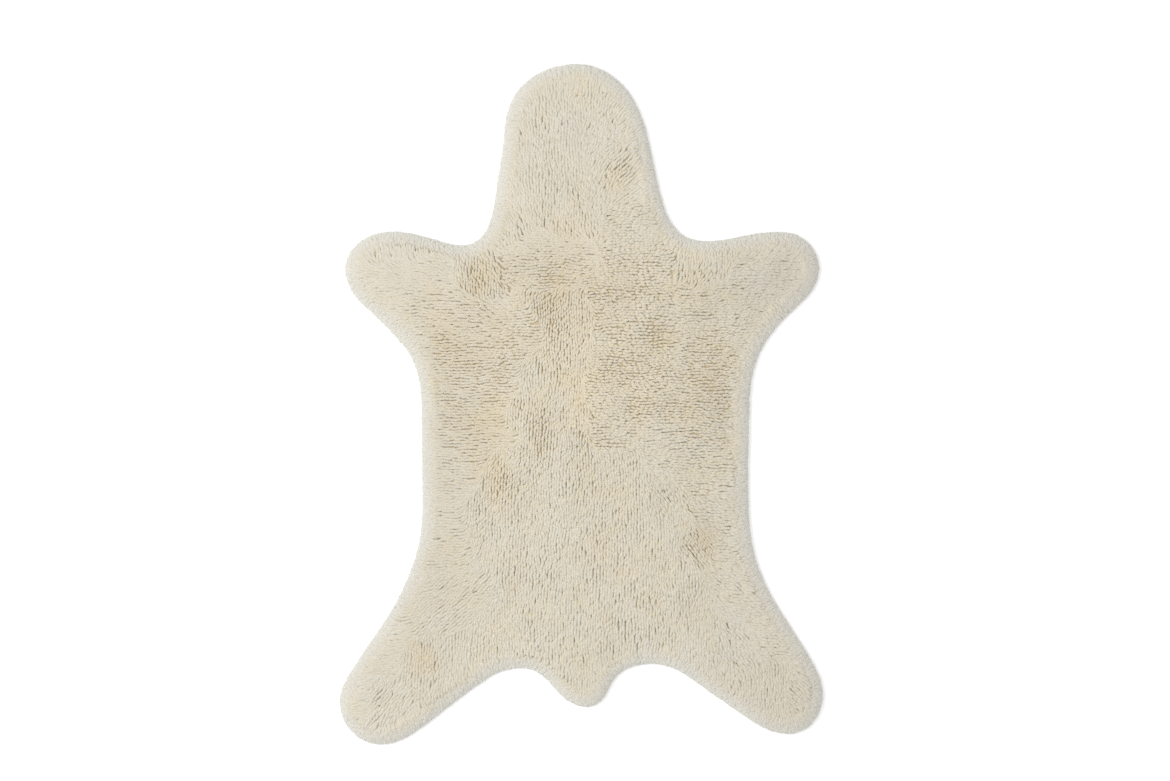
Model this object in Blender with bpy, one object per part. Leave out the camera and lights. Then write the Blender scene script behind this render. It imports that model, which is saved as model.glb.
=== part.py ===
"""Wool pile rug for a child's room, cut to the outline of a bear's pelt.

One flat piece of dense wool pile: a domed head, two fore paws, a straight
waist, two longer hind paws and a short tail. The rug lies on Z = 0 with its
head towards +Y. The pile rounds over at the rim, where loose locks of yarn
lie out on the floor, and its top is uneven: low lumps, and partings where
the pile falls open. Lengths are metres and angles are degrees.
"""

import math
import random

import bmesh
import bpy
from mathutils import Matrix, Vector, geometry, kdtree, noise

# Driving dimensions
PILE_TOP = 0.0225        # mean height of the pile's top over the floor
RIM_FACE = 0.0090        # height of the upright edge that the locks grow from
RIM_ROUND = 0.0300       # width over which the pile rounds down to that edge
RIM_INSET = 0.0040       # from the outline of the locks in to that edge
GRID_STEP = 0.0240       # spacing of the points on the pile's top
SOLE_STEP = 0.1000       # spacing of the points on the underside
GRID_CLEAR = 0.60        # shares of a step kept free between grid and rim rings

# Locks of yarn at the rim
LOCK_COUNT = 290
LOCK_UNEVEN = 0.52       # how far a root's side may stray, as a share of its width
LOCK_REACH = 0.0066      # mean length beyond the upright edge
LOCK_REACH_SPREAD = 0.0036
LOCK_SKEW = 0.0034       # how far a tip strays along the rim
LOCK_TIP_WIDTH = 0.62    # width at the tip, as a share of the root
LOCK_TIP_HEIGHT = 0.55   # height at the tip, as a share of the root
LOCK_SEED = 11

# Low lumps over the whole top. The heights are those of the noise itself,
# which mostly stays within half of them.
LUMP_SIZE = 0.070
LUMP_HEIGHT = 0.0050
BROAD_SIZE = 0.230
BROAD_HEIGHT = 0.0030

PILE_COLOUR = (0.720, 0.652, 0.530, 1.0)
PILE_ROUGHNESS = 0.95

# The outline of the pile, clockwise from the crown of the head. Heading is
# the direction in which the outline runs there, from +X towards +Y.
# place, x, y, heading
OUTLINE = (
    ("crown of the head", -0.010, 0.7055, 0),
    ("crown, right", 0.094, 0.651, -52),
    ("right temple", 0.139, 0.546, -78),
    ("right cheek", 0.156, 0.467, -77),
    ("right of the neck", 0.196, 0.362, -50),
    ("right shoulder", 0.256, 0.339, -1),
    ("right wrist", 0.330, 0.348, 12),
    ("right fore paw, top", 0.420, 0.3575, -5),
    ("right fore paw, tip", 0.492, 0.281, -90),
    ("right fore paw, sole", 0.447, 0.203, -139),
    ("right armpit", 0.370, 0.109, -116),
    ("right of the chest", 0.348, 0.000, -91),
    ("right of the waist", 0.345, -0.160, -89),
    ("right flank", 0.353, -0.287, -80),
    ("right thigh", 0.406, -0.418, -59),
    ("right hind leg, outside", 0.475, -0.528, -61),
    ("right hind paw, side", 0.500, -0.603, -92),
    ("right hind paw, sole", 0.428, -0.682, -180),
    ("right hind leg, inside", 0.288, -0.611, -212),
    ("right of the seat", 0.148, -0.537, -181),
    ("tail root, right", 0.074, -0.561, -136),
    ("tail, right side", 0.053, -0.596, -116),
    ("tail tip", 0.011, -0.6265, -179),
    ("tail, left side", -0.046, -0.599, -225),
    ("tail root, left", -0.074, -0.568, -226),
    ("left of the seat", -0.122, -0.546, -180),
    ("left hind leg, top", -0.192, -0.565, -147),
    ("left hind leg, inside", -0.300, -0.645, -143),
    ("left hind paw, sole", -0.422, -0.7035, -184),
    ("left hind paw, side", -0.501, -0.617, -268),
    ("left hind leg, outside", -0.464, -0.531, -303),
    ("left thigh", -0.372, -0.385, -295),
    ("left flank", -0.334, -0.270, -279),
    ("left of the waist", -0.330, -0.165, -269),
    ("left of the chest", -0.332, 0.003, -269),
    ("left armpit", -0.365, 0.116, -232),
    ("left fore paw, sole", -0.451, 0.205, -223),
    ("left fore paw, tip", -0.490, 0.277, -269),
    ("left fore paw, top", -0.398, 0.3585, -358),
    ("left wrist", -0.322, 0.347, -376),
    ("left shoulder", -0.244, 0.330, -357),
    ("left of the neck", -0.196, 0.364, -296),
    ("left cheek", -0.176, 0.450, -279),
    ("left temple", -0.161, 0.562, -274),
    ("crown, left", -0.116, 0.668, -320),
)

# The edge's section, from the upright edge inwards.
# points around the rug, inset from the upright edge
RIM_RINGS = (
    (400, 0.0050),
    (300, 0.0130),
    (220, 0.0270),
)

# Where the pile falls open into a shallow trough. Turn is the trough's
# direction from +X, and the half sizes are those at which it is almost gone.
# place, x, y, half_length, half_width, turn, depth
PARTINGS = (
    ("right side of the head", 0.108, 0.455, 0.075, 0.026, 58, 0.0024),
    ("left shoulder", -0.221, 0.286, 0.060, 0.030, 20, 0.0026),
    ("back of the neck", -0.014, 0.326, 0.085, 0.026, 84, 0.0022),
    ("right shoulder", 0.142, 0.296, 0.065, 0.030, 35, 0.0026),
    ("left of the chest", -0.280, 0.112, 0.060, 0.026, 70, 0.0020),
    ("between the shoulders", -0.070, 0.150, 0.110, 0.032, 88, 0.0024),
    ("right of the chest", 0.165, 0.130, 0.080, 0.034, 75, 0.0026),
    ("across the right side", 0.235, -0.012, 0.125, 0.024, 2, 0.0030),
    ("left of the back", -0.172, -0.095, 0.085, 0.030, 80, 0.0022),
    ("right hip", 0.245, -0.292, 0.085, 0.028, -32, 0.0032),
    ("left hip", -0.128, -0.385, 0.090, 0.028, 55, 0.0022),
    ("left hind paw", -0.452, -0.620, 0.030, 0.016, -35, 0.0022),
)


def clear_scene():
    for thing in list(bpy.data.objects):
        bpy.data.objects.remove(thing, do_unlink=True)


def heading_vector(heading):
    angle = math.radians(heading)
    return Vector((math.cos(angle), math.sin(angle)))


def outline_curve(steps=24):
    """The closed outline as many points. The handles between two places have
    the length that makes their stretch an arc where the bend is even."""
    points = []
    for row, after in zip(OUTLINE, OUTLINE[1:] + OUTLINE[:1]):
        start, end = Vector(row[1:3]), Vector(after[1:3])
        bend = (after[3] - row[3] + 180) % 360 - 180
        reach = (end - start).length / (3 * math.cos(math.radians(bend) / 4) ** 2)
        first = start + reach * heading_vector(row[3])
        second = end - reach * heading_vector(after[3])
        points += geometry.interpolate_bezier(start, first, second, end, steps)[:-1]
    return points


def spaced_loop(points, count, uneven=0.0):
    """The closed loop again, as count points along it. Each one strays from
    its even place by up to the share uneven of a step."""
    draw = random.Random(LOCK_SEED)
    corners = points + points[:1]
    along = [0.0]
    for a, b in zip(corners, corners[1:]):
        along.append(along[-1] + (b - a).length)
    loop, place = [], 0
    for number in range(count):
        stray = uneven * draw.random()
        target = along[-1] * (number + stray) / count
        while along[place + 1] < target:
            place += 1
        share = (target - along[place]) / (along[place + 1] - along[place])
        loop.append(corners[place].lerp(corners[place + 1], share))
    return loop


def outward(loop, number):
    """The direction out of a clockwise loop at one of its points."""
    along = loop[(number + 1) % len(loop)] - loop[number - 1]
    return Vector((-along.y, along.x)).normalized()


def inset_loop(points, count, inset, uneven=0.0):
    loop = spaced_loop(points, count, uneven)
    return [p - inset * outward(loop, n) for n, p in enumerate(loop)]


def inside(point, loop):
    """Whether a point lies inside the loop, from the edges it sees to its right."""
    crossings = 0
    for a, b in zip(loop, loop[1:] + loop[:1]):
        if (a.y > point.y) != (b.y > point.y):
            share = (point.y - a.y) / (b.y - a.y)
            crossings += a.x + share * (b.x - a.x) > point.x
    return crossings % 2 == 1


def nearest(loop):
    tree = kdtree.KDTree(len(loop))
    for number, point in enumerate(loop):
        tree.insert((point.x, point.y, 0), number)
    tree.balance()
    return lambda p: tree.find((p.x, p.y, 0))[2]


def grid_points(edge, step, clear):
    """Points of a triangular grid that lie inside the edge and clear of it."""
    to_edge = nearest(edge)
    row_step = step * math.sqrt(3) / 2
    low_x, low_y = min(p.x for p in edge), min(p.y for p in edge)
    rows = int((max(p.y for p in edge) - low_y) / row_step) + 1
    columns = int((max(p.x for p in edge) - low_x) / step) + 1
    points = []
    for row in range(rows):
        for column in range(columns):
            shift = 0.5 * (row % 2)
            point = Vector((low_x + (column + shift) * step, low_y + row * row_step))
            if inside(point, edge) and to_edge(point) > clear:
                points.append(point)
    return points


def parting_depth(x, y):
    depth = 0.0
    for _, at_x, at_y, half_length, half_width, turn, deep in PARTINGS:
        away = Vector((x - at_x, y - at_y))
        along = away.dot(heading_vector(turn)) / half_length
        across = away.dot(heading_vector(turn + 90)) / half_width
        depth += deep * math.exp(-2 * (along ** 2 + across ** 2))
    return depth


def pile_height(point, inset):
    """Height of the pile's top at a point that lies inset from the edge."""
    share = min(inset / RIM_ROUND, 1.0)
    rounding = math.sqrt(1 - (1 - share) ** 2)
    lump = LUMP_HEIGHT * noise.noise(Vector((point.x, point.y, 0)) / LUMP_SIZE)
    broad = BROAD_HEIGHT * noise.noise(Vector((point.x, point.y, 1)) / BROAD_SIZE)
    uneven = lump + broad - parting_depth(point.x, point.y)
    return RIM_FACE + (PILE_TOP - RIM_FACE) * rounding + share * uneven


def closed_edges(start, count):
    """The edges of a closed loop of count points, the first numbered start."""
    return [(start + n, start + (n + 1) % count) for n in range(count)]


def layer(bm, points, edges, heights):
    """A sheet of triangles through the points and along the given edges."""
    only_inside = 1
    found = geometry.delaunay_2d_cdt(points, edges, [], only_inside, 1e-6)
    verts = [bm.verts.new((p.x, p.y, z)) for p, z in zip(found[0], heights)]
    faces = [bm.faces.new([verts[n] for n in face]) for face in found[2]]
    return verts, faces


def pile_top(bm, edge, outline):
    points = list(edge)
    edges = closed_edges(0, len(edge))
    heights = [RIM_FACE] * len(edge)
    for count, inset in RIM_RINGS:
        ring = inset_loop(outline, count, RIM_INSET + inset)
        edges += closed_edges(len(points), count)
        heights += [pile_height(p, inset) for p in ring]
        points += ring
    to_edge = nearest(edge)
    grid = grid_points(ring, GRID_STEP, GRID_CLEAR * GRID_STEP)
    heights += [pile_height(p, to_edge(p)) for p in grid]
    return layer(bm, points + grid, edges, heights)[0]


def sole(bm, edge):
    points = edge + grid_points(edge, SOLE_STEP, GRID_CLEAR * SOLE_STEP)
    edges = closed_edges(0, len(edge))
    verts, faces = layer(bm, points, edges, [0.0] * len(points))
    bmesh.ops.reverse_faces(bm, faces=faces)
    return verts


def rim_faces(bm, upper, lower, count):
    """The upright edge between the top's rim and the underside's."""
    faces = []
    for n in range(count):
        after = (n + 1) % count
        faces.append(bm.faces.new((upper[n], upper[after], lower[after], lower[n])))
    return faces


def grow_locks(bm, roots):
    """A four sided lock on each root face, its lower side level on the floor."""
    draw = random.Random(LOCK_SEED)
    tips = bmesh.ops.extrude_discrete_faces(bm, faces=roots)["faces"]
    for tip in tips:
        out = tip.normal.copy()
        along = out.cross(Vector((0, 0, 1)))
        middle = tip.calc_center_median()
        reach = LOCK_REACH + LOCK_REACH_SPREAD * draw.uniform(-1, 1)
        skew = LOCK_SKEW * draw.uniform(-1, 1)
        for vert in tip.verts:
            across = (vert.co - middle).dot(along)
            height = vert.co.z * LOCK_TIP_HEIGHT
            tip_place = middle + along * (across * LOCK_TIP_WIDTH + skew) + out * reach
            vert.co = (tip_place.x, tip_place.y, height)


def centre_on_origin(bm):
    """Moves the rug so that the middle of its box stands over the origin."""
    for axis in (0, 1):
        places = [vert.co[axis] for vert in bm.verts]
        middle = (min(places) + max(places)) / 2
        shift = Vector((0, 0, 0))
        shift[axis] = -middle
        bmesh.ops.transform(bm, matrix=Matrix.Translation(shift), verts=bm.verts)


def wool_material():
    material = bpy.data.materials.new("ecru_wool_pile")
    material.use_nodes = True
    shader = material.node_tree.nodes["Principled BSDF"]
    shader.inputs["Base Color"].default_value = PILE_COLOUR
    shader.inputs["Roughness"].default_value = PILE_ROUGHNESS
    shader.inputs["Metallic"].default_value = 0.0
    return material


def pile_rug(collection):
    outline = outline_curve()
    edge = inset_loop(outline, 2 * LOCK_COUNT, RIM_INSET, LOCK_UNEVEN)
    bm = bmesh.new()
    top_verts = pile_top(bm, edge, outline)
    sole_verts = sole(bm, edge)
    faces = rim_faces(bm, top_verts, sole_verts, len(edge))
    bm.normal_update()
    grow_locks(bm, faces[::2])
    centre_on_origin(bm)
    bmesh.ops.recalc_face_normals(bm, faces=bm.faces)
    mesh = bpy.data.meshes.new("pile_rug")
    bm.to_mesh(mesh)
    bm.free()
    mesh.materials.append(wool_material())
    rug = bpy.data.objects.new("pile_rug", mesh)
    collection.objects.link(rug)
    return rug


def main():
    clear_scene()
    collection = bpy.data.collections.new("bear_shaped_rug")
    bpy.context.scene.collection.children.link(collection)
    pile_rug(collection)


main()
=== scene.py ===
"""Looks of the bear shaped wool rug: its backing, its pile of yarn locks, a
pale floor, soft light and a camera straight above it. Lengths are metres
and angles are degrees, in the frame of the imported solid."""

import math

import bpy
import numpy as np
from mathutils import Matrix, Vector, bvhtree, geometry, kdtree


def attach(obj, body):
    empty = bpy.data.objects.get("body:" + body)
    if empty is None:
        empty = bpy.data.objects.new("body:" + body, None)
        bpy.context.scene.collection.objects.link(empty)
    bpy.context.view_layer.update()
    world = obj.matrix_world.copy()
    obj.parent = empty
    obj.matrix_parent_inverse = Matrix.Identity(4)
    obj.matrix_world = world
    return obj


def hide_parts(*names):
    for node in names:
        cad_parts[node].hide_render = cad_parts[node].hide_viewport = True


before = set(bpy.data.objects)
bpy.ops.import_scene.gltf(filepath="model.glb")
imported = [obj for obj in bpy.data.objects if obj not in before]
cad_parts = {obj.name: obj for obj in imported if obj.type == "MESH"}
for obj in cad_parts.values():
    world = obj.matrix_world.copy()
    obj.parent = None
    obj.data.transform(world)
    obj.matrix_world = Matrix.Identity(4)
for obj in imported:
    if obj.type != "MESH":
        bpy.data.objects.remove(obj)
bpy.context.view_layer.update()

CAD = "pile_rug"

# The photograph's frame: what it shows is this wide, and the rug's middle
# lies this far to the right of the middle of the picture and above it.
PHOTO_WIDTH_PX = 1170
METRES_PER_PX = 0.0020725
RUG_OFF_X_PX = -3.6
RUG_OFF_Y_PX = -14.25
CAMERA_HEIGHT = 5.0

# Rows: the locks are set in even rows, which run the way that is nearest to
# the lay of the pile, in degrees from +X
ROW_TURNS = (0, 45, 90, 135)
ROW_PITCH = 0.0058        # distance between neighbouring rows
ROW_SPACING = 0.0089      # distance between the locks of a row
STRAY_ALONG = 0.0020      # how far a lock strays along its row
STRAY_SIDE = 0.0002       # how far it usually strays out of it
# size of the waves in the rows, and how far they go
WARP = ((0.060, 0.0045), (0.022, 0.0020))
WARP_SEEDS = (11, 12)     # of the noise along x and along y
SWING = ((0.050, 6), (0.018, 8))     # size and degrees of the waves in the lay
RAGGED = ((0.070, 0.016), (0.032, 0.013))   # size and reach of the rags between its areas
RAGGED_SEED = 50          # of the first of their noises
PILE_SEED = 5
NOISE_CELLS = 64          # lumps of noise before it repeats

# Locks: each lies over from its root to its tip along the top of the pile
LOCK_LENGTH = 0.026       # of a lock that lies flat
LOCK_SHORT = 0.50         # length of one that stands up, as a share of that
LOCK_RADIUS = 0.0032      # at its widest, before it varies
LOCK_FLAT = 0.68          # thickness of a lock over its width
ASKEW = 4                 # degrees by which a lock usually turns out of the lay
SHARPEST_BEND = 0.8       # cosine of it, between one ring of a lock and the next
LENGTH_VARIES = (0.85, 1.15)         # least and most of its length, as a share
SIZE_VARIES = 0.06        # usual change of its radius, as a share
SIZE_LIMITS = (0.8, 1.25)
LIFT_VARIES = 0.0003      # how far it usually lies above or below the others
LOCK_DIVE = 0.0075        # how much deeper its root lies than TIP_SINK
DIVE_POWER = 1.5
CLOSED_DIVE = 0.60        # the same where the pile is closed, as a share
TIP_DROOP = 0.0014        # how much deeper its tip hangs, onto the next lock
OPEN_DROOP = 0.60         # the same where the pile is open, as a share
DROOP_POWER = 5
TIP_SINK = 0.0014         # how far the middle of a lock stays under the top of the solid
CRIMP = 0.0007            # how far a lock's waves go to each side
CRIMP_WAVES = (0.9, 1.8)  # least and most waves on a lock
LOCK_SIDES = 5
TWIST = 4.0               # radians by which the fibres of a lock wind round it
FIBRE_SHIFT = 100         # lock lengths by which the fibres of two locks may differ
GATHERS = ((0.0110, 0.0004),)        # size of the clumps, and how far they draw to the side
GATHER_STEPS = (-2, -1, 0, 1, 2)     # places along the lay that a clump's noise is taken at
GATHER_REACH = 0.0055     # from one of them to the next
GATHER_SHARE = 2.2        # what their sum is divided by
LOCK_CLEARANCE = 0.0016   # least height of the middle of a lock above the floor
FACE_CLEARANCE = 0.0004   # least height of its points above the floor

# A lock from root to tip: share of its length, share of its radius
LOCK_RINGS = (
    (0.00, 0.60),
    (0.25, 0.88),
    (0.50, 1.00),
    (0.72, 0.90),
    (0.90, 0.56),
    (1.00, 0.00),
)

SHARES, WIDTHS = np.array(LOCK_RINGS).T

# The rounded rim as a section: how far inside the upright edge, and how high
# inset, height
RIM_SECTION = (
    (-0.0049, 0.0010),
    (-0.0049, 0.0034),
    (-0.0043, 0.0060),
    (-0.0026, 0.0093),
    (0.0004, 0.0126),
    (0.0042, 0.0156),
    (0.0095, 0.0181),
    (0.0150, 0.0201),
    (0.0250, 0.0218),
    (0.0450, 0.0224),
)

# The rows of locks over the rim: how far their tips are from its foot, along
# the section
RIM_ROWS = (
    ("foot", 0.001),
    ("lower", 0.007),
    ("middle", 0.013),
    ("upper", 0.019),
    ("brow", 0.025),
    ("crown", 0.031),
)
RIM_SPACING = 0.0060      # distance between the locks of such a row
RIM_STRAY = 0.2           # how far a lock strays along its row, as a share of that
RIM_STRAY_UP = 0.0008     # how far it usually strays up or down the rim
RIM_LENGTH = 0.020
RIM_WIDER = 1.16          # width of the outermost locks, as a share of their own
RIM_WIDER_REACH = 0.020   # how far inside the edge the locks are their own width again
RIM_INSET = 0.0160        # where these rows end and those on the flat begin

UPRIGHT_HEIGHT = 0.0090   # of the solid's upright edge
FACES_UP = 0.1            # least z of the normal of a face of the solid's top
EDGE_STEP = 0.002         # between the points that the rug's edge is read at
EDGE_SMOOTH = 3           # neighbours on each side that smooth it

LAY_SHARP = 2.0           # how sharply the lay turns between the places below
LAY_EDGE_REACH = 0.018    # how far inside the edge the pile still leans outward
LAY_EDGE_PULL = 1.2       # how strongly it does at the edge

# Which way the pile lies, set to follow the photograph. Turn is from
# +X, reach is how far the row counts, laid is 1 where the locks lie flat and
# 0 where they stand up.
# place, x, y, turn, reach, laid
LAY = (
    ("crown", -0.003, 0.682, 78, 0.060, 0.9),
    ("crown, left", -0.097, 0.631, 95, 0.050, 0.9),
    ("crown, right", 0.090, 0.631, 60, 0.045, 0.9),
    ("forehead", -0.045, 0.568, 90, 0.060, 0.8),
    ("forehead, right", 0.038, 0.568, 70, 0.040, 0.8),
    ("face, left", -0.128, 0.465, 93, 0.050, 1.0),
    ("face", -0.045, 0.444, 90, 0.050, 0.8),
    ("face, right", 0.038, 0.444, 65, 0.035, 0.8),
    ("cheek, right", 0.090, 0.527, 48, 0.040, 0.9),
    ("cheek, right low", 0.121, 0.465, 32, 0.035, 0.9),
    ("jaw, right", 0.110, 0.392, 8, 0.040, 0.8),
    ("jaw, left", -0.169, 0.403, 108, 0.040, 0.8),
    ("nape", -0.035, 0.371, 90, 0.045, 0.7),
    ("shoulders", -0.045, 0.300, 180, 0.050, 0.4),
    ("shoulders, right", 0.120, 0.300, 0, 0.050, 0.5),
    ("shoulder, left", -0.221, 0.268, 98, 0.035, 0.6),
    ("shoulder, right", 0.266, 0.299, 70, 0.035, 0.8),
    ("fore paw, left upper", -0.387, 0.330, 105, 0.045, 1.0),
    ("fore paw, left middle", -0.377, 0.289, 155, 0.030, 1.0),
    ("fore paw, left lower", -0.387, 0.237, 176, 0.050, 1.0),
    ("fore paw, left root", -0.294, 0.247, 172, 0.040, 0.9),
    ("fore paw, right upper", 0.421, 0.340, 30, 0.040, 1.0),
    ("fore paw, right", 0.411, 0.278, 0, 0.050, 1.0),
    ("fore paw, right lower", 0.349, 0.216, 8, 0.050, 1.0),
    ("chest, left upper", -0.273, 0.175, 180, 0.060, 0.8),
    ("chest, left lower", -0.294, 0.050, 180, 0.070, 0.9),
    ("chest, left inner", -0.169, 0.112, 180, 0.050, 0.5),
    ("chest, right inner", 0.121, 0.195, 0, 0.050, 0.6),
    ("chest, right outer", 0.266, 0.154, 0, 0.060, 0.9),
    ("chest, right lower", 0.121, 0.071, 0, 0.060, 0.6),
    ("side, right", 0.287, 0.030, 0, 0.060, 0.9),
    ("spine, upper", -0.045, 0.195, -92, 0.040, 0.5),
    ("spine, middle", -0.045, 0.071, -90, 0.045, 0.7),
    ("spine, lower", -0.066, -0.033, -90, 0.045, 0.7),
    ("waist, right inner", 0.059, -0.074, -2, 0.030, 0.6),
    ("waist, right", 0.204, -0.053, 0, 0.050, 0.9),
    ("waist, left", -0.273, -0.074, 180, 0.060, 0.9),
    ("waist, left inner", -0.150, -0.136, -95, 0.040, 0.6),
    ("flank, left", -0.294, -0.219, 183, 0.050, 0.9),
    ("loin", -0.045, -0.136, -90, 0.050, 0.7),
    ("loin, right", 0.079, -0.157, -88, 0.045, 0.7),
    ("loin, far right", 0.193, -0.198, -68, 0.035, 0.7),
    ("flank, right upper", 0.287, -0.136, -6, 0.050, 0.9),
    ("flank, right lower", 0.297, -0.240, -14, 0.040, 0.9),
    ("hip, left inner", -0.205, -0.240, -100, 0.040, 0.7),
    ("hip, left", -0.294, -0.281, 182, 0.040, 0.9),
    ("hip, right", 0.240, -0.300, -60, 0.024, 0.6),
    ("hip, right outer", 0.300, -0.292, -6, 0.036, 0.9),
    ("rump", 0.038, -0.323, -90, 0.080, 0.8),
    ("rump, left", -0.107, -0.323, -92, 0.050, 0.8),
    ("seat", 0.017, -0.489, -90, 0.080, 0.8),
    ("seat, left", -0.169, -0.489, -92, 0.050, 0.8),
    ("seat, right", 0.204, -0.447, -90, 0.050, 0.8),
    ("thigh, left", -0.263, -0.395, 215, 0.045, 0.8),
    ("thigh, right", 0.338, -0.385, -20, 0.045, 0.9),
    ("hind leg, left outer", -0.408, -0.489, 188, 0.040, 1.0),
    ("hind leg, left", -0.314, -0.530, -98, 0.030, 0.8),
    ("hind leg, left inner", -0.231, -0.592, -92, 0.040, 0.9),
    ("hind leg, right outer", 0.390, -0.478, -12, 0.035, 1.0),
    ("hind leg, right", 0.338, -0.509, -62, 0.035, 0.8),
    ("hind paw, left", -0.397, -0.623, -118, 0.030, 0.9),
    ("hind paw, left outer", -0.470, -0.603, 190, 0.030, 1.0),
    ("hind paw, right", 0.390, -0.592, -82, 0.040, 1.0),
    ("hind paw, right outer", 0.463, -0.613, -50, 0.035, 1.0),
    ("tail", 0.007, -0.582, -90, 0.040, 0.9),
)

# Where the pile is open, so that dark gaps show between its locks, or closer
# than the rest where the amount is negative. These soft oval patches, and
# those of the next two tables, are set to follow the photograph, and their
# amounts were changed until renders came near it.
# place, x, y, reach along x, reach along y, amount
OPEN = (
    ("upper body", 0.010, 0.100, 0.400, 0.280, 0.48),
    ("left side", -0.270, 0.020, 0.090, 0.230, 0.60),
    ("right side", 0.270, 0.020, 0.090, 0.230, 0.55),
    ("lower body", 0.000, -0.350, 0.270, 0.200, 0.20),
    ("tail", 0.007, -0.570, 0.050, 0.050, 0.25),
    ("between the shoulders", -0.070, 0.216, 0.035, 0.085, 0.7),
    ("right of the spine", 0.017, 0.237, 0.050, 0.050, 0.5),
    ("right shoulder blade", 0.121, 0.237, 0.050, 0.022, 0.5),
    ("right shoulder", 0.173, 0.299, 0.026, 0.026, 0.3),
    ("right chest", 0.173, 0.144, 0.030, 0.026, 0.5),
    ("right ribs", 0.121, 0.075, 0.070, 0.020, 0.8),
    ("across the right side", 0.225, -0.008, 0.120, 0.016, 1.0),
    ("right waist", 0.320, -0.070, 0.050, 0.020, 0.4),
    ("spine at the waist", -0.085, -0.074, 0.024, 0.060, 0.6),
    ("middle of the waist", 0.010, -0.080, 0.040, 0.025, 0.6),
    ("left ribs", -0.180, 0.071, 0.040, 0.030, 0.4),
    ("left chest", -0.290, 0.110, 0.030, 0.030, 0.6),
    ("left shoulder", -0.222, 0.262, 0.030, 0.050, 0.5),
    ("left flank", -0.159, -0.167, 0.030, 0.035, 0.45),
    ("right hip", 0.245, -0.300, 0.040, 0.045, 0.5),
    ("right thigh", 0.162, -0.427, 0.018, 0.070, 0.5),
    ("head, left of the middle", -0.060, 0.530, 0.016, 0.070, 0.4),
    ("right cheek", 0.100, 0.485, 0.035, 0.035, 0.4),
    ("right jaw", 0.130, 0.392, 0.030, 0.025, 0.4),
    ("left hind leg", -0.325, -0.509, 0.022, 0.045, 0.4),
    ("left hind paw", -0.428, -0.623, 0.030, 0.024, 0.3),
    ("right hind leg", 0.400, -0.551, 0.030, 0.030, 0.2),
    ("left fore paw", -0.400, 0.290, 0.100, 0.080, -0.20),
)
OPEN_BASE = 0.05          # how open it is outside the patches
OPEN_NOISE = (0.040, 31, 0.11)     # size, seed and strength of the noise in it
OPEN_EDGE_REACH = 0.030   # how far inside the edge it is fully as open as this
OPEN_SPREAD = 0.8         # more drawing to the side where the pile is open
CLOSED_WIDER = 0.34       # how much wider the locks are where it is closed

# Where the wool is yellower, or paler where the amount is negative.
# place, x, y, reach along x, reach along y, amount
WARM = (
    ("upper body", -0.003, 0.110, 0.320, 0.280, 0.37),
    ("lower body", 0.000, -0.380, 0.230, 0.150, 0.14),
    ("crown", 0.007, 0.651, 0.025, 0.025, 0.20),
    ("middle of the head", -0.045, 0.540, 0.080, 0.100, -0.08),
    ("right cheek", 0.079, 0.475, 0.030, 0.030, 0.40),
    ("nape", -0.035, 0.382, 0.035, 0.035, 0.25),
    ("between the shoulders", -0.055, 0.257, 0.040, 0.040, 0.25),
    ("left shoulder", -0.211, 0.280, 0.040, 0.035, 0.45),
    ("left chest", -0.280, 0.130, 0.035, 0.045, 0.38),
    ("left waist", -0.210, -0.035, 0.050, 0.055, 0.30),
    ("left flank", -0.185, -0.150, 0.050, 0.050, 0.30),
    ("left ribs", -0.110, 0.050, 0.040, 0.050, -0.15),
    ("right shoulder", 0.193, 0.257, 0.040, 0.030, 0.20),
    ("right chest", 0.173, 0.135, 0.040, 0.030, 0.35),
    ("middle of the waist", 0.017, 0.005, 0.050, 0.030, 0.15),
    ("right waist", 0.183, -0.074, 0.035, 0.030, -0.15),
    ("right side", 0.290, 0.030, 0.040, 0.120, 0.25),
    ("loin", -0.045, -0.261, 0.060, 0.045, -0.20),
    ("left thigh", -0.290, -0.310, 0.060, 0.150, 0.10),
    ("right hip", 0.262, -0.295, 0.030, 0.055, 0.45),
    ("right rump", 0.183, -0.343, 0.030, 0.030, 0.15),
    ("left hind leg", -0.325, -0.530, 0.030, 0.040, 0.50),
    ("tail", 0.007, -0.520, 0.050, 0.050, 0.20),
    ("left fore paw", -0.400, 0.280, 0.090, 0.080, -0.15),
)
WARM_BASE = 0.10          # how yellow it is outside the patches
WARM_NOISE = (0.045, 41, 0.16)     # size, seed and strength of the noise in it

# Painted shade: where the wool is darkened to stand in for the uneven light
# across the rug, or lightened where the amount is negative.
# place, x, y, reach along x, reach along y, amount
PAINTED_SHADE = (
    ("head", -0.030, 0.530, 0.120, 0.180, 0.12),
    ("left fore paw", -0.400, 0.280, 0.110, 0.090, 0.34),
    ("right fore paw", 0.400, 0.260, 0.120, 0.090, 0.68),
    ("left shoulder", -0.130, 0.275, 0.080, 0.035, 0.28),
    ("left chest", -0.260, 0.040, 0.090, 0.070, -0.20),
    ("middle of the chest", 0.050, 0.060, 0.160, 0.100, -0.35),
    ("left side", -0.290, -0.020, 0.090, 0.220, 0.45),
    ("left thigh", -0.310, -0.400, 0.090, 0.150, 0.55),
    ("right flank", 0.180, -0.200, 0.070, 0.080, 0.22),
    ("right thigh", 0.270, -0.430, 0.090, 0.120, 0.22),
    ("right side", 0.280, 0.030, 0.090, 0.200, 0.20),
    ("shoulders", 0.000, 0.270, 0.250, 0.060, 0.04),
    ("right hip", 0.266, -0.281, 0.030, 0.050, 0.90),
    ("right hind leg", 0.420, -0.590, 0.110, 0.120, 0.45),
    ("left hind leg", -0.400, -0.600, 0.120, 0.110, 0.28),
)
PAINTED_SHADE_BASE = 0.25          # how deep the painted shade is outside the patches
PAINTED_SHADE_NOISE = (0.055, 43, 0.10)     # size, seed and strength of the noise in it


def unit(turn):
    """The direction on the floor at each angle from +X."""
    angle = np.radians(turn)
    return np.stack([np.cos(angle), np.sin(angle)], axis=-1)


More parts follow.
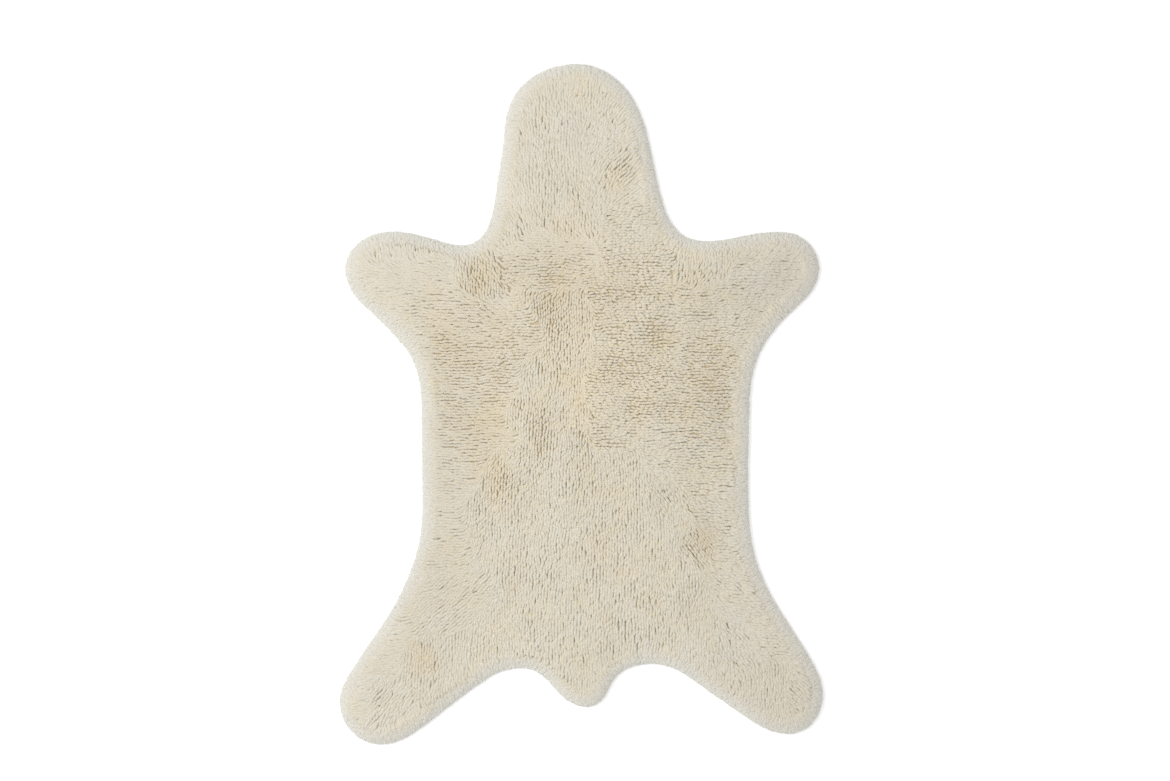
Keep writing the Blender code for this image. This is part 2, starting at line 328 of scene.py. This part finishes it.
def normalised(vectors):
    """The vectors, each at a length of 1."""
    return vectors / np.linalg.norm(vectors, axis=-1, keepdims=True)


# ---------------------------------------------------------------- the solid


def rim_loop(solid):
    """The upper side of the solid's upright edge, as a clockwise loop."""
    mesh = solid.data
    lowest = UPRIGHT_HEIGHT - 1e-5
    uses = {}
    for face in mesh.polygons:
        corners = [mesh.vertices[n].co for n in face.vertices]
        if min(c.z for c in corners) < lowest or face.normal.z < FACES_UP:
            continue
        keys = [(round(c.x, 6), round(c.y, 6)) for c in corners]
        for a, b in zip(keys, keys[1:] + keys[:1]):
            if (b, a) in uses:
                del uses[(b, a)]
            else:
                uses[(a, b)] = True
    after = {a: b for a, b in uses}
    start = next(iter(after))
    loop, here = [start], after[start]
    while here != start:
        loop.append(here)
        here = after[here]
    return np.array(loop[::-1])


def even_loop(loop, step):
    """A closed loop again, with points at even distances of about a step."""
    closed = np.vstack([loop, loop[:1]])
    along = np.concatenate([[0], np.cumsum(np.hypot(*np.diff(closed, axis=0).T))])
    places = np.linspace(0, along[-1], round(along[-1] / step), endpoint=False)
    return np.stack([np.interp(places, along, closed[:, k]) for k in (0, 1)], axis=1)


def smooth_loop(loop, reach):
    """A closed loop with each point moved to the mean of it and its neighbours."""
    return sum(np.roll(loop, k, axis=0) for k in range(-reach, reach + 1)) / (2 * reach + 1)


def loop_outward(loop):
    """The direction out of a clockwise loop at each of its points."""
    along = np.roll(loop, -1, axis=0) - np.roll(loop, 1, axis=0)
    return normalised(np.stack([-along[:, 1], along[:, 0]], axis=1))


class Edge:
    """The rug's upright edge: how far points lie inside it, and which way is out."""

    def __init__(self, solid):
        self.loop = smooth_loop(even_loop(rim_loop(solid), EDGE_STEP), EDGE_SMOOTH)
        self.out = loop_outward(self.loop)
        self.tree = kdtree.KDTree(len(self.loop))
        for number, (x, y) in enumerate(self.loop):
            self.tree.insert((x, y, 0), number)
        self.tree.balance()

    def inset(self, points):
        """How far inside the edge each point is, and which way is out there."""
        near = np.array([self.tree.find((x, y, 0))[1] for x, y in points])
        away = self.loop[near] - points
        return (away * self.out[near]).sum(axis=1), self.out[near]


class Top:
    """The solid's uneven top: its height over a point of the floor."""

    def __init__(self, solid):
        mesh = solid.data
        corners = [v.co for v in mesh.vertices]
        faces = [list(face.vertices) for face in mesh.polygons]
        self.tree = bvhtree.BVHTree.FromPolygons(corners, faces)

    def height(self, points):
        """The height of the top over each point, and 0 beside the rug."""
        down = Vector((0, 0, -1))
        hits = [self.tree.ray_cast(Vector((x, y, 1)), down)[0] for x, y in points]
        return np.array([0.0 if hit is None else hit.z for hit in hits])


# -------------------------------------------------------------------- noise


def smooth_noise(points, size, seed):
    """Soft noise from -1 to 1 with lumps of about the given size."""
    draw = np.random.default_rng(seed)
    table = draw.uniform(-1, 1, (NOISE_CELLS, NOISE_CELLS))
    place = points / size
    cell = np.floor(place).astype(int)
    part = place - cell
    part = part * part * (3 - 2 * part)
    corner = {}
    for i in (0, 1):
        for j in (0, 1):
            spot = (cell + (i, j)) % NOISE_CELLS
            corner[i, j] = table[spot[:, 0], spot[:, 1]]
    low = corner[0, 0] + (corner[1, 0] - corner[0, 0]) * part[:, 0]
    high = corner[0, 1] + (corner[1, 1] - corner[0, 1]) * part[:, 0]
    return low + (high - low) * part[:, 1]


# -------------------------------------------------------------- pile layout


def turned(ways, degrees):
    """Directions on the floor, each turned by its own angle."""
    c, s = np.cos(np.radians(degrees)), np.sin(np.radians(degrees))
    return np.stack([ways[:, 0] * c - ways[:, 1] * s, ways[:, 0] * s + ways[:, 1] * c], axis=1)


def ragged(points):
    """The points, shifted to and fro by noise."""
    for seed, (size, far) in enumerate(RAGGED):
        shift = [smooth_noise(points, size, RAGGED_SEED + 2 * seed + axis) for axis in (0, 1)]
        points = points + far * np.stack(shift, axis=1)
    return points


def lay_of_pile(points, inset, out):
    """Which way the pile lies at each point, and how flat."""
    pull = np.zeros((len(points), 2))
    weight = np.full(len(points), 1e-9)
    laid = np.zeros(len(points))
    moved = ragged(points)
    for _, x, y, turn, reach, flat in LAY:
        near = np.exp(-((moved - (x, y)) ** 2).sum(axis=1) / reach ** 2)
        pull += (near ** LAY_SHARP)[:, None] * unit(turn)
        laid += near * flat
        weight += near
    laid /= weight
    pull /= np.linalg.norm(pull, axis=1, keepdims=True) + 1e-12
    at_edge = np.exp(-np.clip(inset, 0, None) / LAY_EDGE_REACH)
    pull = pull * (1 - at_edge[:, None]) + LAY_EDGE_PULL * out * at_edge[:, None]
    pull /= np.linalg.norm(pull, axis=1, keepdims=True) + 1e-9
    swing = sum(degrees * smooth_noise(points, size, seed)
                for seed, (size, degrees) in enumerate(SWING))
    return turned(pull, swing), laid * (1 - at_edge) + at_edge


def patches(table, points):
    """The sum of a table's soft oval patches at each point."""
    amount = np.zeros(len(points))
    for _, x, y, reach_x, reach_y, more in table:
        away = (points - (x, y)) / (reach_x, reach_y)
        amount += more * np.exp(-(away ** 2).sum(axis=1))
    return amount


def patched(base, noise, table, points):
    """A base value with noise and a table's patches, from 0 to 1, at each point."""
    size, seed, strength = noise
    amount = base + strength * smooth_noise(points, size, seed) + patches(table, points)
    return np.clip(amount, 0, 1)


def openness(points, inset):
    """How open the pile is at each point, from 0 to 1."""
    inner = np.clip(inset / OPEN_EDGE_REACH, 0, 1)
    return patched(OPEN_BASE, OPEN_NOISE, OPEN, points) * inner


def warmth(points):
    """How yellow the wool is at each point, from 0 to 1."""
    return patched(WARM_BASE, WARM_NOISE, WARM, points)


def painted_shade_depth(points):
    """How deep the painted shade is at each point, from 0 to 1."""
    return patched(PAINTED_SHADE_BASE, PAINTED_SHADE_NOISE, PAINTED_SHADE, points)


def row_places(edge, draw):
    """Places of the tips of the locks in rows, over the flat of the rug."""
    reach = np.linalg.norm(edge.loop, axis=1).max()
    rows = np.arange(-reach, reach, ROW_PITCH)
    spots = np.arange(-reach, reach, ROW_SPACING)
    count = (len(rows), len(spots))
    ways = unit(np.array(ROW_TURNS))
    found = []
    for number, way in enumerate(ways):
        start = draw.uniform(0, ROW_SPACING, (len(rows), 1))
        along = spots + start + draw.uniform(-STRAY_ALONG, STRAY_ALONG, count)
        side = rows[:, None] + draw.normal(0, STRAY_SIDE, count)
        places = (along[..., None] * way + side[..., None] * (-way[1], way[0])).reshape(-1, 2)
        for size, far in WARP:
            wave = [smooth_noise(places, size, seed) for seed in WARP_SEEDS]
            places = places + far * np.stack(wave, axis=1)
        inset, out = edge.inset(places)
        places, inset, out = [values[inset > RIM_INSET] for values in (places, inset, out)]
        nearest = np.abs(lay_of_pile(places, inset, out)[0] @ ways.T).argmax(axis=1)
        found.append(places[nearest == number])
    return np.concatenate(found)


def drawn_out_noise(points, lay, size, seed):
    """Noise drawn out along the lay of the pile, mostly from -1 to 1."""
    spots = [points + lay * GATHER_REACH * step for step in GATHER_STEPS]
    return sum(smooth_noise(spot, size, seed) for spot in spots) / GATHER_SHARE


def flat_locks(edge, top, draw):
    """Spines and normals of the locks in rows, and how open the pile is there."""
    tips = row_places(edge, draw)
    count = len(tips)
    inset, out = edge.inset(tips)
    lay, laid = lay_of_pile(tips, inset, out)
    open_ = openness(tips, inset)
    gather = sum(drawn_out_noise(tips, lay, size, int(size * 1e4)) * strength
                 for size, strength in GATHERS) * (1 + OPEN_SPREAD * open_)
    length = LOCK_LENGTH * (LOCK_SHORT + (1 - LOCK_SHORT) * laid)
    length = length * draw.uniform(*LENGTH_VARIES, count)
    askew = draw.normal(0, ASKEW, count)
    place, way = tips, turned(lay, askew)
    spine = [np.column_stack([place, top.height(place)])]
    for after, here in zip(SHARES[:0:-1], SHARES[-2::-1]):
        next_way = turned(lay_of_pile(place, *edge.inset(place))[0], askew)
        bends = (way * next_way).sum(axis=1, keepdims=True) > SHARPEST_BEND
        way = np.where(bends, next_way, way)
        place = place - way * (length * (after - here))[:, None]
        spine.append(np.column_stack([place, top.height(place)]))
    spine = np.stack(spine[::-1], axis=1)
    spine[..., :2] += gather[:, None, None] * turned(lay, 90)[:, None] * SHARES[:, None]
    normal = np.zeros_like(spine)
    normal[..., 2] = 1
    return {"spine": spine, "normal": normal, "inset": inset, "open": open_}


def rim_locks(edge, draw):
    """The same of the locks in rows over the rounded rim."""
    section = np.array(RIM_SECTION)
    arc = np.concatenate([[0], np.cumsum(np.hypot(*np.diff(section, axis=0).T))])
    around = len(edge.loop)
    found = []
    for row, (_, from_foot) in enumerate(RIM_ROWS):
        count = round(around * EDGE_STEP / RIM_SPACING)
        stray = draw.uniform(-RIM_STRAY, RIM_STRAY, count)
        number = (np.arange(count) + row / 2 + stray) * around / count
        number = number.astype(int) % around
        start = from_foot + draw.normal(0, RIM_STRAY_UP, count)
        length = RIM_LENGTH * draw.uniform(*LENGTH_VARIES, count)
        place = np.clip(start[:, None] + length[:, None] * (1 - SHARES), 0, arc[-1])
        inset = np.interp(place, arc, section[:, 0])
        height = np.interp(place, arc, section[:, 1])
        slope = np.interp(place, (arc[1:] + arc[:-1]) / 2,
                          np.arctan2(np.diff(section[:, 1]), np.diff(section[:, 0])))
        out = edge.out[number][:, None]
        place = edge.loop[number][:, None] - out * inset[..., None]
        spine = np.concatenate([place, height[..., None]], axis=2)
        normal = np.concatenate([out * np.sin(slope)[..., None], np.cos(slope)[..., None]], axis=2)
        found.append((spine, normal, inset[:, -1], np.zeros(count)))
    columns = [np.concatenate(column) for column in zip(*found)]
    return dict(zip(("spine", "normal", "inset", "open"), columns))


def all_locks(edge, top):
    """All locks of yarn, as arrays with a row for each."""
    draw = np.random.default_rng(PILE_SEED)
    parts = [flat_locks(edge, top, draw), rim_locks(edge, draw)]
    locks = {key: np.concatenate([part[key] for part in parts]) for key in parts[0]}
    count = len(locks["open"])
    locks["size"] = np.clip(draw.normal(1, SIZE_VARIES, count), *SIZE_LIMITS)
    locks["size"] *= 1 + CLOSED_WIDER * (1 - locks["open"])
    locks["size"] *= np.interp(locks["inset"], (0, RIM_WIDER_REACH), (RIM_WIDER, 1))
    locks["tone"] = draw.uniform(0, 1, count)
    locks["turn"] = draw.uniform(0, 2 * np.pi, count)
    locks["waves"] = draw.uniform(*CRIMP_WAVES, count)
    locks["lift"] = draw.normal(0, LIFT_VARIES, count)
    locks["warm"] = warmth(locks["spine"][:, -1, :2])
    # painted shade at each lock, standing in for the uneven light across the rug
    locks["painted_shade"] = painted_shade_depth(locks["spine"][:, -1, :2])
    return locks


# ---------------------------------------------------------------- lock mesh


def lock_depths(locks):
    """How deep the middle of each ring lies under the top of the solid."""
    open_ = locks["open"][:, None]
    dive = LOCK_DIVE * (CLOSED_DIVE + (1 - CLOSED_DIVE) * open_)
    droop = TIP_DROOP * (1 - (1 - OPEN_DROOP) * open_)
    depth = TIP_SINK + dive * (1 - SHARES) ** DIVE_POWER + droop * SHARES ** DROOP_POWER
    return depth + locks["lift"][:, None]


def lock_centres(locks):
    """The middle of each ring, with the waves of its lock."""
    spine, normal = locks["spine"], locks["normal"]
    side = normalised(np.cross(np.gradient(spine, axis=1), normal))
    wave = np.sin(locks["turn"][:, None] + 2 * np.pi * locks["waves"][:, None] * SHARES)
    centre = spine - normal * lock_depths(locks)[..., None] + side * (CRIMP * wave)[..., None]
    centre[..., 2] = np.maximum(centre[..., 2], LOCK_CLEARANCE)
    return centre


def lock_vertices(locks):
    """Every lock's rings of points, then its tip, and how deep they all lie."""
    spine, normal = locks["spine"], locks["normal"]
    centre = lock_centres(locks)
    way = normalised(np.gradient(centre, axis=1))
    side = normalised(np.cross(way, normal))
    over = np.cross(side, way) * LOCK_FLAT
    radius = LOCK_RADIUS * WIDTHS * locks["size"][:, None]
    turn = locks["turn"][:, None] + ring_angles()
    rings = (centre[:, :-1, None]
             + side[:, :-1, None] * (radius[:, :-1, None] * np.cos(turn)[:, None])[..., None]
             + over[:, :-1, None] * (radius[:, :-1, None] * np.sin(turn)[:, None])[..., None])
    points = np.concatenate([rings.reshape(len(rings), -1, 3), centre[:, -1:]], axis=1)
    points[..., 2] = np.maximum(points[..., 2], FACE_CLEARANCE)
    ring = np.minimum(np.arange(points.shape[1]) // LOCK_SIDES, len(SHARES) - 1)
    below = ((spine[:, ring] - points) * normal[:, ring]).sum(axis=2)
    return points, below


def ring_angles():
    """The angle of each point of a lock's ring, in radians."""
    return np.arange(LOCK_SIDES) * 2 * np.pi / LOCK_SIDES


def lock_faces():
    """The faces of one lock: quads between its rings, then its tip."""
    quads, triangles = [], []
    for ring in range(len(LOCK_RINGS) - 2):
        for n in range(LOCK_SIDES):
            here = ring * LOCK_SIDES + n
            after = ring * LOCK_SIDES + (n + 1) % LOCK_SIDES
            quads.append((here, after, after + LOCK_SIDES, here + LOCK_SIDES))
    last = (len(LOCK_RINGS) - 2) * LOCK_SIDES
    for n in range(LOCK_SIDES):
        triangles.append((last + n, last + (n + 1) % LOCK_SIDES, last + LOCK_SIDES))
    return quads + triangles


def fibre_places(locks):
    """For each point of the locks where it is around its lock, and along it."""
    one = [(math.cos(a + TWIST * share), math.sin(a + TWIST * share), share)
           for share in SHARES[:-1] for a in ring_angles()]
    one = np.array(one + [(0.0, 0.0, 1.0)])
    places = np.tile(one, (len(locks["tone"]), 1, 1))
    places[..., 2] += (locks["tone"] * FIBRE_SHIFT)[:, None]
    return places.reshape(-1, 3)


def lock_mesh(name, locks):
    """One mesh of all the given locks, with the values that its material reads."""
    points, below = lock_vertices(locks)
    count, per_lock = points.shape[:2]
    faces = lock_faces()
    corners = np.array([n for face in faces for n in face])
    totals = np.array([len(face) for face in faces])
    mesh = bpy.data.meshes.new(name)
    mesh.vertices.add(count * per_lock)
    mesh.vertices.foreach_set("co", points.astype(np.float32).ravel())
    mesh.loops.add(count * len(corners))
    shift = np.arange(count)[:, None] * per_lock
    mesh.loops.foreach_set("vertex_index", (corners + shift).astype(np.int32).ravel())
    mesh.polygons.add(count * len(faces))
    starts = np.concatenate([[0], np.cumsum(np.tile(totals, count))[:-1]])
    mesh.polygons.foreach_set("loop_start", starts.astype(np.int32))
    mesh.update(calc_edges=True)
    mesh.shade_smooth()
    fibres = mesh.attributes.new("fibre", "FLOAT_VECTOR", "POINT")
    fibres.data.foreach_set("vector", fibre_places(locks).astype(np.float32).ravel())
    add_values(mesh, "below", below.ravel())
    for kind in ("tone", "open", "warm", "painted_shade", "inset"):
        add_values(mesh, kind, np.repeat(locks[kind], per_lock))
    return mesh


def add_values(mesh, name, values):
    """A number for each point of a mesh."""
    mesh.attributes.new(name, "FLOAT", "POINT")
    mesh.attributes[name].data.foreach_set("value", values.astype(np.float32))


# Which locks go into which piece: each into the first whose test it passes.
# piece, test on the place of the lock's tip
REGIONS = (
    ("head", lambda x, y: y > 0.36),
    ("fore_paw_left", lambda x, y: (x < -0.30) & (y > 0.06)),
    ("fore_paw_right", lambda x, y: (x > 0.31) & (y > 0.06)),
    ("shoulders", lambda x, y: y > 0.20),
    ("chest", lambda x, y: y > 0.02),
    ("waist", lambda x, y: y > -0.17),
    ("hind_leg_left", lambda x, y: (y < -0.36) & (x < -0.16)),
    ("hind_leg_right", lambda x, y: (y < -0.36) & (x > 0.16)),
    ("hips", lambda x, y: y > -0.36),
    ("tail", lambda x, y: y <= -0.36),
)


def pile_pieces(edge, top, material):
    """The pile, as one piece for each region of the rug."""
    locks = all_locks(edge, top)
    x, y = locks["spine"][:, -1, 0], locks["spine"][:, -1, 1]
    taken = np.zeros(len(x), bool)
    pieces = []
    for name, test in REGIONS:
        here = test(x, y) & ~taken
        taken |= here
        part = {key: values[here] for key, values in locks.items()}
        mesh = lock_mesh("pile_" + name, part)
        mesh.materials.append(material)
        piece = bpy.data.objects.new("pile_" + name, mesh)
        bpy.context.scene.collection.objects.link(piece)
        pieces.append(piece)
    return pieces


# ------------------------------------------------------------------- ground

GROUND_DROP = 0.0060      # from the top of the pile down to the ground
GROUND_STEP = 0.0100      # between the points inside its rings
GROUND_RING_STEP = 0.008  # between the points of a ring
GROUND_MARGIN = 0.005     # between the innermost ring and the points inside it
GROUND_FOOT = 0.0003      # height of its underside above the floor
# inset of each ring from the upright edge, height of the ground there
GROUND_RINGS = (
    (0.0030, 0.0030),
    (0.0042, 0.0070),
    (0.0070, 0.0102),
    (0.0115, 0.0128),
    (0.0180, 0.0142),
)


def ground_points(edge, top):
    """The ground's points, their heights, the sides of its rings and how many one has."""
    loop = even_loop(edge.loop, GROUND_RING_STEP)
    out = loop_outward(loop)
    rim = len(loop)
    points, heights, sides = [], [], []
    for inset, height in GROUND_RINGS:
        start = len(points)
        points += list(loop - out * inset)
        heights += [height] * rim
        sides += [(start + n, start + (n + 1) % rim) for n in range(rim)]
    low, high = loop.min(axis=0), loop.max(axis=0)
    x, y = np.meshgrid(np.arange(low[0], high[0], GROUND_STEP), np.arange(low[1], high[1], GROUND_STEP))
    grid = np.stack([x.ravel(), y.ravel()], axis=1)
    grid = grid[edge.inset(grid)[0] > GROUND_RINGS[-1][0] + GROUND_MARGIN]
    points += list(grid)
    heights += list(top.height(grid) - GROUND_DROP)
    return points, heights, sides, rim


def ground(edge, top, wool, backing):
    """The foot of the pile on its backing cloth, one closed flat piece, and its area."""
    points, heights, sides, rim = ground_points(edge, top)
    found = geometry.delaunay_2d_cdt([Vector(p) for p in points], sides, [], 1, 1e-6)
    spots, flat = found[0], found[2]
    count = len(points)
    corners = [(p.x, p.y, z) for p, z in zip(spots, heights)]
    corners += [(p.x, p.y, GROUND_FOOT) for p in spots]
    faces = [tuple(face) for face in flat]
    faces += [tuple(n + count for n in reversed(face)) for face in flat]
    faces += [(n, (n + 1) % rim, (n + 1) % rim + count, n + count) for n in range(rim)]
    mesh = bpy.data.meshes.new("backing_cloth")
    mesh.from_pydata(corners, [], faces)
    mesh.materials.append(wool)
    mesh.materials.append(backing)
    under = np.zeros(len(faces), np.int32)
    under[len(flat):2 * len(flat)] = 1
    mesh.polygons.foreach_set("material_index", under)
    places = np.array([(p.x, p.y) for p in spots] * 2)
    inset = edge.inset(places)[0]
    # depth of the ground under the pile, which gives it the painted light of the gaps
    add_values(mesh, "below", GROUND_DROP * np.clip(inset / GROUND_RINGS[-1][0], 0, 1))
    add_values(mesh, "open", openness(places, inset))
    add_values(mesh, "warm", warmth(places))
    # painted shade on the ground, standing in for the uneven light across the rug
    add_values(mesh, "painted_shade", painted_shade_depth(places))
    add_values(mesh, "inset", inset)
    piece = bpy.data.objects.new("backing_cloth", mesh)
    bpy.context.scene.collection.objects.link(piece)
    area = sum(f.area for f in mesh.polygons if f.material_index == 1)
    return piece, area


# ---------------------------------------------------------------- materials


class Nodes:
    """A material's nodes, with short calls to add and join them."""

    def __init__(self, name):
        self.material = bpy.data.materials.new(name)
        self.material.use_nodes = True
        self.tree = self.material.node_tree
        self.shader = self.tree.nodes["Principled BSDF"]

    def add(self, kind, settings=None, **inputs):
        """A new node with its settings, and its inputs joined or set."""
        node = self.tree.nodes.new("ShaderNode" + kind)
        for name, value in (settings or {}).items():
            setattr(node, name, value)
        for name, value in inputs.items():
            self.put(node.inputs[name.replace("_", " ")], value)
        return node

    def put(self, socket, value):
        """Joins a socket to another, or sets its value."""
        if isinstance(value, bpy.types.NodeSocket):
            self.tree.links.new(value, socket)
        else:
            socket.default_value = value

    def values(self, name):
        """The values that a mesh holds under a name."""
        return self.add("Attribute", {"attribute_name": name}).outputs["Fac"]

    def math(self, operation, a, b):
        """One sum or product of two values."""
        node = self.add("Math", {"operation": operation})
        self.put(node.inputs[0], a)
        self.put(node.inputs[1], b)
        return node.outputs[0]

    def ramp(self, value, start, end):
        """0 at the start value, 1 at the end value and straight between them."""
        return self.add("MapRange", Value=value, From_Min=start, From_Max=end).outputs["Result"]

    def multiply(self, a, b):
        """The product of two colours."""
        return self.mix(1.0, a, b, "MULTIPLY")

    def mix(self, share, a, b, way="MIX"):
        """Colour a, with a share of colour b mixed in."""
        node = self.add("Mix", {"data_type": "RGBA", "blend_type": way})
        self.put(node.inputs["Factor"], share)
        self.put(node.inputs["A"], a)
        self.put(node.inputs["B"], b)
        return node.outputs["Result"]


# Colours are linear
WHITE = (1, 1, 1, 1)
WOOL_PALE = (0.755, 0.709, 0.610, 1)
WOOL_WARM = (0.775, 0.661, 0.460, 1)
# painted light: the rim's greyer, cooler colour stands in for the light that the white floor throws
# back on it
WOOL_RIM_LIGHT = (0.742, 0.713, 0.641, 1)
WOOL_PAINTED_SHADE = (0.880, 0.880, 0.880, 1)     # times the others where the painted shade is deepest
# painted light in the gaps between the locks: brighter and yellower than the wool, lifting their shade
# as bounced light would
GAP_LIGHT_CLOSED = (0.874, 0.765, 0.544, 1)
GAP_LIGHT_OPEN = (0.786, 0.652, 0.412, 1)
GAP_LIGHT_RIM = (0.949, 0.887, 0.763, 1)
FIBRE_LOW, FIBRE_HIGH = (0.935, 0.932, 0.918, 1), (1.100, 1.100, 1.100, 1)
STRAND_LOW, STRAND_HIGH = (0.870, 0.868, 0.850, 1), (1.140, 1.147, 1.158, 1)
SHEEN_TINT = (0.98, 0.98, 0.96, 1)
COTTON_LOW, COTTON_HIGH = (0.50, 0.43, 0.32, 1), (0.70, 0.64, 0.52, 1)
FLOOR_WHITE = (0.97, 0.97, 0.97, 1)
FLOOR_GLOW = 0.17         # its own faint light

# Where one colour starts to pass into the next, and where it has done so
WARM_RAMP = (0.30, 1.35)  # pale to warm, by warmth, clouds and the tone of the lock
RIM_LIGHT_RAMP = (0.016, -0.001)         # to the rim's painted light, by how far inside the edge it is
GAP_LIGHT_RAMP = (0.0010, 0.0045)        # to the painted light in the gaps, by the depth below the top
FIBRE_RAMP = (0.3, 0.7)   # low to high, by the noise of the fibres

CLOUD_SHARE = 0.4         # of the clouds in the ramp from pale to warm
TONE_SHARE = 0.3          # of the tone of the lock in it
# scales of the noises and of the weave: the higher, the finer
CLOUD_SCALE = 14.0
FIBRE_SCALE = 2.6
STRAND_SCALE = 8.0
WEAVE_SCALE = 60.0
FIBRE_RELIEF = 0.0014
WEAVE_RELIEF = 0.0006


def wool_colour(nodes):
    """Pale to warm wool, with painted light greying the rim and lifting the gaps between the locks, and
    painted shade where the light across the rug is weaker.
    """
    place = nodes.add("TexCoord").outputs["Object"]
    clouds = nodes.add("TexNoise", Vector=place, Scale=CLOUD_SCALE, Detail=2.0).outputs["Fac"]
    share = nodes.math("ADD", nodes.math("MULTIPLY", clouds, CLOUD_SHARE), nodes.values("warm"))
    share = nodes.math("ADD", nodes.math("MULTIPLY", nodes.values("tone"), TONE_SHARE), share)
    colour = nodes.mix(nodes.ramp(share, *WARM_RAMP), WOOL_PALE, WOOL_WARM)
    # painted light at the rim: a greyer colour standing in for the white floor's bounce
    painted_rim_light = nodes.ramp(nodes.values("inset"), *RIM_LIGHT_RAMP)
    colour = nodes.mix(painted_rim_light, colour, WOOL_RIM_LIGHT)
    # painted light in the gaps: a brighter, yellower colour by the depth below the top
    painted_gap_light = nodes.mix(painted_rim_light, nodes.mix(nodes.values("open"), GAP_LIGHT_CLOSED, GAP_LIGHT_OPEN), GAP_LIGHT_RIM)
    colour = nodes.mix(nodes.ramp(nodes.values("below"), *GAP_LIGHT_RAMP), colour, painted_gap_light)
    # painted shade: the wool darkened where the light across the rug is weaker
    return nodes.multiply(colour, nodes.mix(nodes.values("painted_shade"), WHITE, WOOL_PAINTED_SHADE))


def wool_material():
    """Matte wool. Its coarse fibres are in colour and relief, its fine ones in colour."""
    nodes = Nodes("wool_pile")
    colour = wool_colour(nodes)
    place = nodes.add("Attribute", {"attribute_name": "fibre"}).outputs["Vector"]
    fibres = nodes.add("TexNoise", Vector=place, Scale=FIBRE_SCALE, Detail=4.0, Roughness=0.7)
    strands = nodes.add("TexNoise", Vector=place, Scale=STRAND_SCALE, Detail=2.0)
    for noise, low, high in ((fibres, FIBRE_LOW, FIBRE_HIGH), (strands, STRAND_LOW, STRAND_HIGH)):
        share = nodes.ramp(noise.outputs["Fac"], *FIBRE_RAMP)
        colour = nodes.multiply(colour, nodes.mix(share, low, high))
    nodes.put(nodes.shader.inputs["Base Color"], colour)
    bump = nodes.add("Bump", Strength=1.0, Distance=FIBRE_RELIEF, Height=fibres.outputs["Fac"])
    nodes.put(nodes.shader.inputs["Normal"], bump.outputs["Normal"])
    nodes.shader.inputs["Roughness"].default_value = 0.92
    nodes.shader.inputs["Sheen Weight"].default_value = 0.9
    nodes.shader.inputs["Sheen Roughness"].default_value = 0.5
    nodes.shader.inputs["Sheen Tint"].default_value = SHEEN_TINT
    nodes.shader.inputs["Specular IOR Level"].default_value = 0.25
    return nodes.material


def backing_material():
    """Plain woven cotton for the hidden underside."""
    nodes = Nodes("cotton_backing")
    place = nodes.add("TexCoord").outputs["Object"]
    warp, weft = [nodes.add("TexWave", {"bands_direction": way}, Vector=place,
                            Scale=WEAVE_SCALE, Distortion=0.4).outputs["Fac"] for way in "XY"]
    weave = nodes.math("MULTIPLY", warp, weft)
    colour = nodes.mix(weave, COTTON_LOW, COTTON_HIGH)
    nodes.put(nodes.shader.inputs["Base Color"], colour)
    bump = nodes.add("Bump", Strength=0.5, Distance=WEAVE_RELIEF, Height=weave)
    nodes.put(nodes.shader.inputs["Normal"], bump.outputs["Normal"])
    nodes.shader.inputs["Roughness"].default_value = 0.9
    return nodes.material


def floor_material():
    """Plain white with a faint glow."""
    nodes = Nodes("pale_floor")
    nodes.shader.inputs["Base Color"].default_value = FLOOR_WHITE
    nodes.shader.inputs["Emission Color"].default_value = WHITE
    nodes.shader.inputs["Emission Strength"].default_value = FLOOR_GLOW
    nodes.shader.inputs["Roughness"].default_value = 0.9
    nodes.shader.inputs["Specular IOR Level"].default_value = 0.1
    return nodes.material


# -------------------------------------------------------------------- stage

FLOOR_SIZE = 30
KEY_PLACE = (-2.6, 0.4, 3.2)       # above the rug and to the left of it
KEY_SIZE = 2.0
KEY_POWER = 68            # watts
WORLD_LIGHT = 0.80        # strength of the even light from all sides


def stage():
    """The floor."""
    bpy.ops.mesh.primitive_plane_add(size=FLOOR_SIZE)
    floor = bpy.context.object
    floor.name = "floor"
    floor.data.materials.append(floor_material())


def area_light(name, place, size, power):
    """A round light that points at the middle of the rug."""
    data = bpy.data.lights.new(name, "AREA")
    data.shape = "DISK"
    data.size = size
    data.energy = power
    light = bpy.data.objects.new(name, data)
    light.location = place
    light.rotation_euler = Vector(place).to_track_quat("Z", "Y").to_euler()
    bpy.context.scene.collection.objects.link(light)


def lights():
    """One soft light and an even white surrounding."""
    area_light("key", KEY_PLACE, KEY_SIZE, KEY_POWER)
    world = bpy.data.worlds.new("studio")
    world.use_nodes = True
    background = world.node_tree.nodes["Background"]
    background.inputs["Color"].default_value = WHITE
    background.inputs["Strength"].default_value = WORLD_LIGHT
    bpy.context.scene.world = world
    bpy.context.scene.view_settings.view_transform = "Standard"


def camera():
    """Straight above, with the photograph's frame."""
    data = bpy.data.cameras.new("camera")
    width = PHOTO_WIDTH_PX * METRES_PER_PX
    data.lens = data.sensor_width * CAMERA_HEIGHT / width
    eye = bpy.data.objects.new("camera", data)
    eye.location = (-RUG_OFF_X_PX * METRES_PER_PX, -RUG_OFF_Y_PX * METRES_PER_PX, CAMERA_HEIGHT)
    bpy.context.scene.collection.objects.link(eye)
    bpy.context.scene.camera = eye


# --------------------------------------------------------------------- main


def main():
    """Builds the scene and says what each piece rides on and replaces."""
    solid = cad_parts[CAD]
    camera()
    stage()
    lights()
    edge, top = Edge(solid), Top(solid)
    wool = wool_material()
    cloth, area = ground(edge, top, wool, backing_material())
    pile = pile_pieces(edge, top, wool)
    for piece in [cloth] + pile:
        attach(piece, "root")
        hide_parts(CAD)


main()
